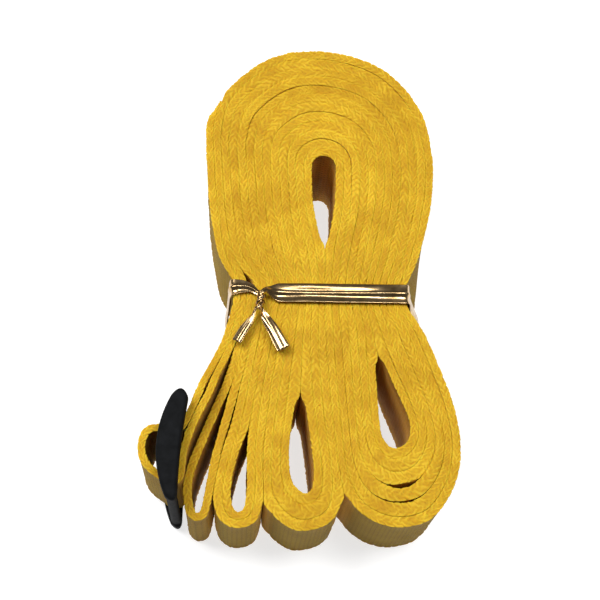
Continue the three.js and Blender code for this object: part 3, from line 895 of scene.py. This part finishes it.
def webbing_material():
    """Yellow webbing: plaited selvedges, and woven faces with painted shade on the hank's outer faces and a
    painted warm glow in its folds; the low spots of plait and weave get painted shade.
    """
    look = Look("yellow_webbing")
    inputs, selvedge = look.shader.inputs, look.attribute("selvedge")
    # relief and weave also drive the colour ramps: their low spots are painted darker, painted shade in the
    # hollows
    relief, weave = look.attribute("relief"), plain_weave(look)
    # the selvedge's colour: darker where the plait is low, painted shade in its hollows
    yarn = look.ramp(
        relief, (0.0, srgb("A4761A")), (0.4, srgb("B68D20")), (0.75, srgb("C09B22")), (1.0, srgb("CBA92C"))
    )
    # painted shade: the hank's outer faces get this darker olive colour, lower still in the weave's hollows
    outside = look.ramp(
        weave, (0.0, srgb("5E480E")), (0.35, srgb("80661A")), (0.7, srgb("987A1E")), (1.0, srgb("A88824"))
    )
    # painted light: faces in the hank's folds get this brighter, warmer colour, a painted glow of light in the
    # gaps
    inside = look.ramp(weave, (0.0, srgb("AC8036")), (0.35, srgb("CC9A46")), (1.0, srgb("DCAE56")))
    # the mask chooses painted shade on open outer faces and the painted glow in the folds
    face = look.mix("MIX", look.attribute("painted_shade_outside"), inside, outside)
    colour = look.mix("MIX", selvedge, face, yarn)
    patches = look.ramp(look.noise(140.0), (0.35, (0.80, 0.74, 0.62)), (0.65, WHITE))
    colour = look.mix("MULTIPLY", 0.55, colour, patches)
    tone = look.ramp(look.attribute("layer_tone"), (0.0, (0.86, 0.80, 0.70)), (1.0, WHITE))
    colour = look.mix("MULTIPLY", 0.6, colour, tone)
    fibres = look.ramp(look.noise(2600.0, 2.0), (0.3, (0.82, 0.80, 0.74)), (0.7, WHITE))
    colour = look.mix("MULTIPLY", 0.5, colour, fibres)
    look.links.new(colour, inputs["Base Color"])
    fuzz = look.bump(look.noise(3200.0), 0.35, 0.06)
    face_only = look.maths("SUBTRACT", 1.0, selvedge)
    woven = look.bump(look.maths("MULTIPLY", weave, face_only), 0.7, 0.12, fuzz)
    look.links.new(woven, inputs["Normal"])
    inputs["Roughness"].default_value = 0.7
    inputs["Specular IOR Level"].default_value = 0.08
    inputs["Subsurface Weight"].default_value = 0.35
    inputs["Subsurface Radius"].default_value = (1.0, 0.42, 0.12)
    inputs["Subsurface Scale"].default_value = 0.0012
    return look.made


def plastic_material():
    """Black plastic with a fine grain and an uneven sheen."""
    look = Look("black_moulded_plastic")
    inputs = look.shader.inputs
    shade = look.ramp(look.noise(600.0), (0.3, srgb("0B0C0D")), (0.7, srgb("131416")))
    look.links.new(shade, inputs["Base Color"])
    inputs["Specular IOR Level"].default_value = 0.05
    look.links.new(look.between(look.noise(1500.0), 0.58, 0.80), inputs["Roughness"])
    look.links.new(look.bump(look.noise(3500.0, 4.0), 0.5, 0.04), inputs["Normal"])
    return look.made


def metal_material(name, dark, light, roughness):
    """Metal between two tones, with a roughness that varies and a faint bump."""
    look = Look(name)
    inputs = look.shader.inputs
    look.links.new(look.ramp(look.noise(350.0), (0.3, dark), (0.7, light)), inputs["Base Color"])
    inputs["Metallic"].default_value = 1.0
    look.links.new(look.between(look.noise(900.0), roughness * 0.7, roughness * 1.4), inputs["Roughness"])
    look.links.new(look.bump(look.noise(1200.0, 2.0), 0.05, 0.04), inputs["Normal"])
    return look.made


def floor_material():
    """A floor that glows like a light table, so that shadows stay faint and the gaps look pale."""
    look = Look("floor")
    inputs = look.shader.inputs
    inputs["Base Color"].default_value = (0.42, 0.42, 0.42, 1)
    inputs["Emission Color"].default_value = (1, 1, 1, 1)
    inputs["Emission Strength"].default_value = 0.72
    inputs["Roughness"].default_value = 0.9
    return look.made


foil = metal_material("gold_film", srgb("AC8C5C"), srgb("D2B486"), 0.22)
strap.data.materials.append(webbing_material())
slide.data.materials.append(plastic_material())
outer_film.data.materials.append(foil)
inner_film.data.materials.append(foil)
wire.data.materials.append(metal_material("wire", srgb("7C7E82"), srgb("A6A8AC"), 0.35))

# ------------------------------------------------------------ what rides
for piece, body, node, slot in (
    (strap, "hank", "webbing_strap", "webbing"),
    (slide, "slide", "slide_adjuster", "black_plastic"),
    (outer_film, "hank", "tie_outer_film", "gold_film"),
    (inner_film, "hank", "tie_inner_film", "gold_film"),
    (wire, "hank", "tie_wire", "wire"),
):
    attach(piece, body)
    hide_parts(node)

# --------------------------------------------------------- floor and light
FLOOR_REACH = 3  # metres from the middle to each side
FLOOR_DROP = 0.2 * MM  # below the plane the part stands on, because the plait reaches a little lower

corners = [(-1, -1), (1, -1), (1, 1), (-1, 1)]
floor_mesh = bpy.data.meshes.new("floor")
floor_mesh.from_pydata([(x * FLOOR_REACH, y * FLOOR_REACH, 0) for x, y in corners], [], [(0, 1, 2, 3)])
floor_mesh.materials.append(floor_material())
floor = bpy.data.objects.new("floor", floor_mesh)
floor.location.z = cad_low.z - FLOOR_DROP
bpy.context.scene.collection.objects.link(floor)


LIGHT_AIM = Vector((0, 0, 0.01))


def area_light(name, place, size, power):
    """A rectangular light that looks at LIGHT_AIM."""
    data = bpy.data.lights.new(name, "AREA")
    data.shape, data.size, data.size_y = "RECTANGLE", size[0], size[1]
    data.energy = power
    made = bpy.data.objects.new(name, data)
    made.location = place
    made.rotation_mode = "QUATERNION"
    made.rotation_quaternion = (LIGHT_AIM - Vector(place)).to_track_quat("-Z", "Y")
    bpy.context.scene.collection.objects.link(made)


area_light("key", (-0.38, 0.22, 0.85), (0.40, 0.40), 9.5)
area_light("top", (0.28, 0.10, 0.92), (0.30, 0.45), 6.5)
world = bpy.data.worlds.new("world")
world.use_nodes = True
sky = world.node_tree.nodes["Background"].inputs
sky["Color"].default_value = (0.95, 0.97, 1.0, 1)
sky["Strength"].default_value = 0.09
bpy.context.scene.world = world
bpy.context.scene.view_settings.view_transform = "Standard"
